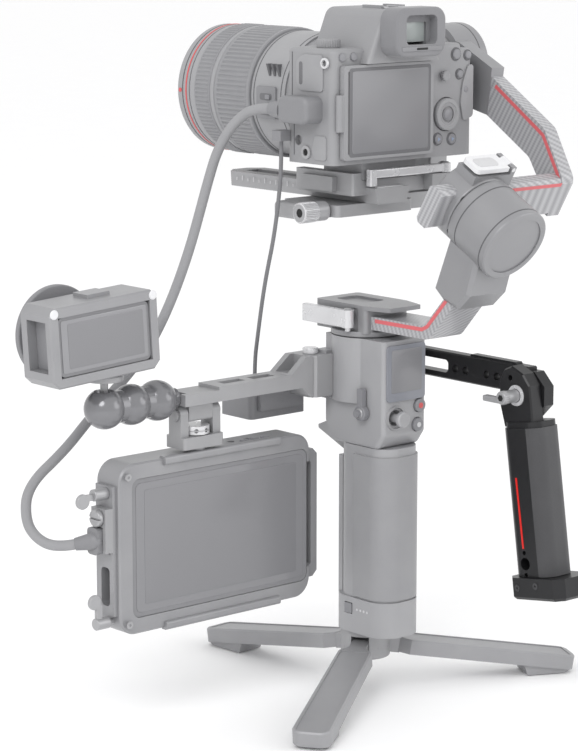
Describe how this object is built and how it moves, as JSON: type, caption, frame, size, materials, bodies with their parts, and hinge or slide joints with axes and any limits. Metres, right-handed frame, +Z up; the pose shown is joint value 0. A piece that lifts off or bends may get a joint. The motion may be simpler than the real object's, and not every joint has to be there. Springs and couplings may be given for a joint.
{
  "type": "cinema camera rig",
  "caption": "Mirrorless camera with a large zoom lens on a handheld three-axis gimbal, with monitor, small second camera, receiver, cables and a sling handle, on a folding tripod.",
  "frame": {"origin": "on the pan axis, in the plane under the three rubber feet", "axes": "+Z up along the pan axis, +Y forward along the lens, +X to the operator's right"},
  "size_m": [0.4063, 0.3117, 0.476],
  "materials": {
    "hub": "satin anodised",
    "leg": "satin anodised",
    "pin": "turned",
    "grip": "satin moulded",
    "soft": "fine-grained",
    "cell": "wrapped",
    "body": "satin moulded",
    "display": "gloss",
    "button": "satin",
    "record": "satin",
    "bracket": "satin anodised",
    "silver": "turned",
    "cage": "satin anodised",
    "monitor": "matte",
    "glossglass": "gloss",
    "ball": "gloss anodised",
    "hood": "matte",
    "carbon": "woven carbon, clear coat",
    "motor": "satin anodised",
    "white": "satin",
    "slidem": "satin anodised",
    "camera": "textured",
    "lens": "satin",
    "lensglass": "coated",
    "sling": "satin anodised",
    "slingrubber": "fine-grained",
    "cable": "matte",
    "plug": "moulded",
    "receiver": "matte",
    "leveralu": "machined"
  },
  "bodies": {
    "stand": {"tripod_hub": "hub", "leg_pins": "pin", "battery_grip": "grip", "grip_rubber": "soft", "battery_cells": "cell", "control_body": "body", "touch_screen": "display", "bracket_arm": "bracket", "bracket_screws": "silver", "receiver_module": "receiver", "mount_block": "bracket", "sling_arm": "sling", "video_cable": "cable", "control_cable": "cable"},
    "leg_front": {"tripod_leg_front": "leg"},
    "leg_left": {"tripod_leg_left": "leg"},
    "leg_right": {"tripod_leg_right": "leg"},
    "battery_button": {"battery_button": "button"},
    "joystick": {"joystick": "button"},
    "record_button": {"record_button": "record"},
    "mode_button": {"mode_button": "button"},
    "trigger": {"trigger": "button"},
    "side_lever": {"side_lever": "button"},
    "yoke": {"mount_yoke": "bracket"},
    "lock_ring": {"lock_ring": "silver"},
    "monitor": {"monitor_cage": "cage", "cage_screws": "silver", "monitor_body": "monitor", "monitor_glass": "glossglass", "hdmi_clamp": "cage", "monitor_plug": "plug"},
    "ball_arm": {"ball_arm": "ball"},
    "device": {"arm_stud": "bracket", "device_cage": "cage", "device_body": "monitor", "lens_hood": "hood"},
    "sling": {"sling_grip": "sling", "sling_rubber": "slingrubber"},
    "sling_lever": {"sling_lever": "leveralu"},
    "pan": {"pan_cap": "motor", "pan_arm": "carbon", "roll_motor": "motor"},
    "pan_lever": {"pan_lever": "silver"},
    "roll": {"roll_clamp": "motor", "roll_arm": "carbon", "tilt_motor": "motor"},
    "roll_lever": {"roll_lever": "white"},
    "tilt": {"camera_bracket": "slidem"},
    "balance_knob": {"balance_knob": "slidem"},
    "camera": {"slide_plate": "slidem", "camera_body": "camera", "eyecup": "soft", "lens_barrel": "lens", "lens_glass": "lensglass", "camera_plug": "plug"},
    "plate_lever": {"plate_lever": "silver"},
    "quick_dial": {"quick_dial": "camera"},
    "mode_dial": {"mode_dial": "camera"},
    "lcd": {"lcd_panel": "camera"},
    "zoom_ring": {"zoom_ring": "soft"}
  },
  "joints": [
    {"name": "leg_front_fold", "type": "hinge", "parent": "stand", "child": "leg_front", "pos_m": [-0.00067, 0.01098, 0.03], "axis": [-0.9981, -0.061, 0], "range_deg": [0, 75]},
    {"name": "leg_left_fold", "type": "hinge", "parent": "stand", "child": "leg_left", "pos_m": [-0.00917, -0.00607, 0.03], "axis": [0.5519, -0.8339, 0], "range_deg": [0, 75]},
    {"name": "leg_right_fold", "type": "hinge", "parent": "stand", "child": "leg_right", "pos_m": [0.00984, -0.00491, 0.03], "axis": [0.4462, 0.8949, 0], "range_deg": [0, 75]},
    {"name": "battery_button_press", "type": "slide", "parent": "stand", "child": "battery_button", "axis": [1, 0, 0], "range_m": [0, 0.001], "stiffness_N_per_m": 100},
    {"name": "record_button_press", "type": "slide", "parent": "stand", "child": "record_button", "axis": [0, 1, 0], "range_m": [0, 0.001], "stiffness_N_per_m": 100},
    {"name": "mode_button_press", "type": "slide", "parent": "stand", "child": "mode_button", "axis": [0, 1, 0], "range_m": [0, 0.001], "stiffness_N_per_m": 100},
    {"name": "trigger_press", "type": "slide", "parent": "stand", "child": "trigger", "axis": [0, -1, 0], "range_m": [0, 0.0025], "stiffness_N_per_m": 100},
    {"name": "joystick_tilt", "type": "hinge", "parent": "stand", "child": "joystick", "pos_m": [-0.009, -0.0345, 0.198], "axis": [1, 0, 0], "range_deg": [-15, 15], "stiffness_Nm_per_rad": 0.01},
    {"name": "side_lever_turn", "type": "hinge", "parent": "stand", "child": "side_lever", "pos_m": [-0.02, -0.0195, 0.2005], "axis": [1, 0, 0], "range_deg": [0, 70]},
    {"name": "monitor_tilt", "type": "hinge", "parent": "stand", "child": "yoke", "pos_m": [-0.1355, 0.022, 0.21], "axis": [1, 0, 0], "range_deg": [-50, 8], "deforming": ["video_cable"]},
    {"name": "monitor_swivel", "type": "hinge", "parent": "yoke", "child": "monitor", "pos_m": [-0.1355, 0.022, 0.19], "axis": [0, 0, 1], "range_deg": [-35, 25], "deforming": ["video_cable"]},
    {"name": "lock_ring_turn", "type": "hinge", "parent": "yoke", "child": "lock_ring", "pos_m": [-0.1355, 0.022, 0.198], "axis": [0, 0, 1], "continuous": true},
    {"name": "ball_arm_turn", "type": "hinge", "parent": "stand", "child": "ball_arm", "pos_m": [-0.154, 0.021, 0.222], "axis": [1, 0, 0], "range_deg": [-40, 40]},
    {"name": "device_swivel", "type": "hinge", "parent": "ball_arm", "child": "device", "pos_m": [-0.2113, 0.021, 0.222], "axis": [0, 0, 1], "range_deg": [-35, 35]},
    {"name": "sling_pitch", "type": "hinge", "parent": "stand", "child": "sling", "pos_m": [0.047, -0.108, 0.218], "axis": [1, 0, 0], "range_deg": [-95, 35]},
    {"name": "sling_lever_turn", "type": "hinge", "parent": "sling", "child": "sling_lever", "pos_m": [0.03, -0.108, 0.218], "axis": [1, 0, 0], "continuous": true},
    {"name": "pan", "type": "hinge", "parent": "stand", "child": "pan", "pos_m": [0, 0, 0.252], "axis": [0, 0, 1], "range_deg": [-60, 60], "deforming": ["video_cable", "control_cable"]},
    {"name": "pan_lever_turn", "type": "hinge", "parent": "pan", "child": "pan_lever", "pos_m": [-0.0255, -0.008, 0.262], "axis": [0, 0, 1], "range_deg": [0, 70]},
    {"name": "roll", "type": "hinge", "parent": "pan", "child": "roll", "pos_m": [0, -0.10659, 0.344], "axis": [0, 0.866, 0.5], "range_deg": [-30, 30], "deforming": ["video_cable", "control_cable"]},
    {"name": "roll_lever_turn", "type": "hinge", "parent": "roll", "child": "roll_lever", "pos_m": [0.0185, -0.11187, 0.37594], "axis": [0, 0.866, 0.5], "range_deg": [0, 90]},
    {"name": "tilt", "type": "hinge", "parent": "roll", "child": "tilt", "pos_m": [0.076, 0.016, 0.431], "axis": [1, 0, 0], "range_deg": [-45, 45], "deforming": ["video_cable", "control_cable"]},
    {"name": "balance_knob_turn", "type": "hinge", "parent": "tilt", "child": "balance_knob", "pos_m": [-0.058, -0.008, 0.34], "axis": [1, 0, 0], "continuous": true},
    {"name": "camera_slide", "type": "slide", "parent": "tilt", "child": "camera", "axis": [0, 1, 0], "range_m": [-0.008, 0.015], "deforming": ["video_cable", "control_cable"]},
    {"name": "plate_lever_turn", "type": "hinge", "parent": "camera", "child": "plate_lever", "pos_m": [0.045, -0.028, 0.364], "axis": [0, 0, 1], "range_deg": [0, 35]},
    {"name": "quick_dial_turn", "type": "hinge", "parent": "camera", "child": "quick_dial", "pos_m": [0.038, -0.036, 0.4015], "axis": [0, 1, 0], "continuous": true},
    {"name": "mode_dial_turn", "type": "hinge", "parent": "camera", "child": "mode_dial", "pos_m": [0.041, -0.016, 0.453], "axis": [0, 0, 1], "continuous": true},
    {"name": "lcd_swing", "type": "hinge", "parent": "camera", "child": "lcd", "pos_m": [-0.0616, -0.0386, 0.4074], "axis": [0, 0, 1], "range_deg": [-40, 0]},
    {"name": "zoom_ring_turn", "type": "hinge", "parent": "camera", "child": "zoom_ring", "pos_m": [-0.008, 0.082, 0.4125], "axis": [0, 1, 0], "range_deg": [-60, 60]}
  ]
}
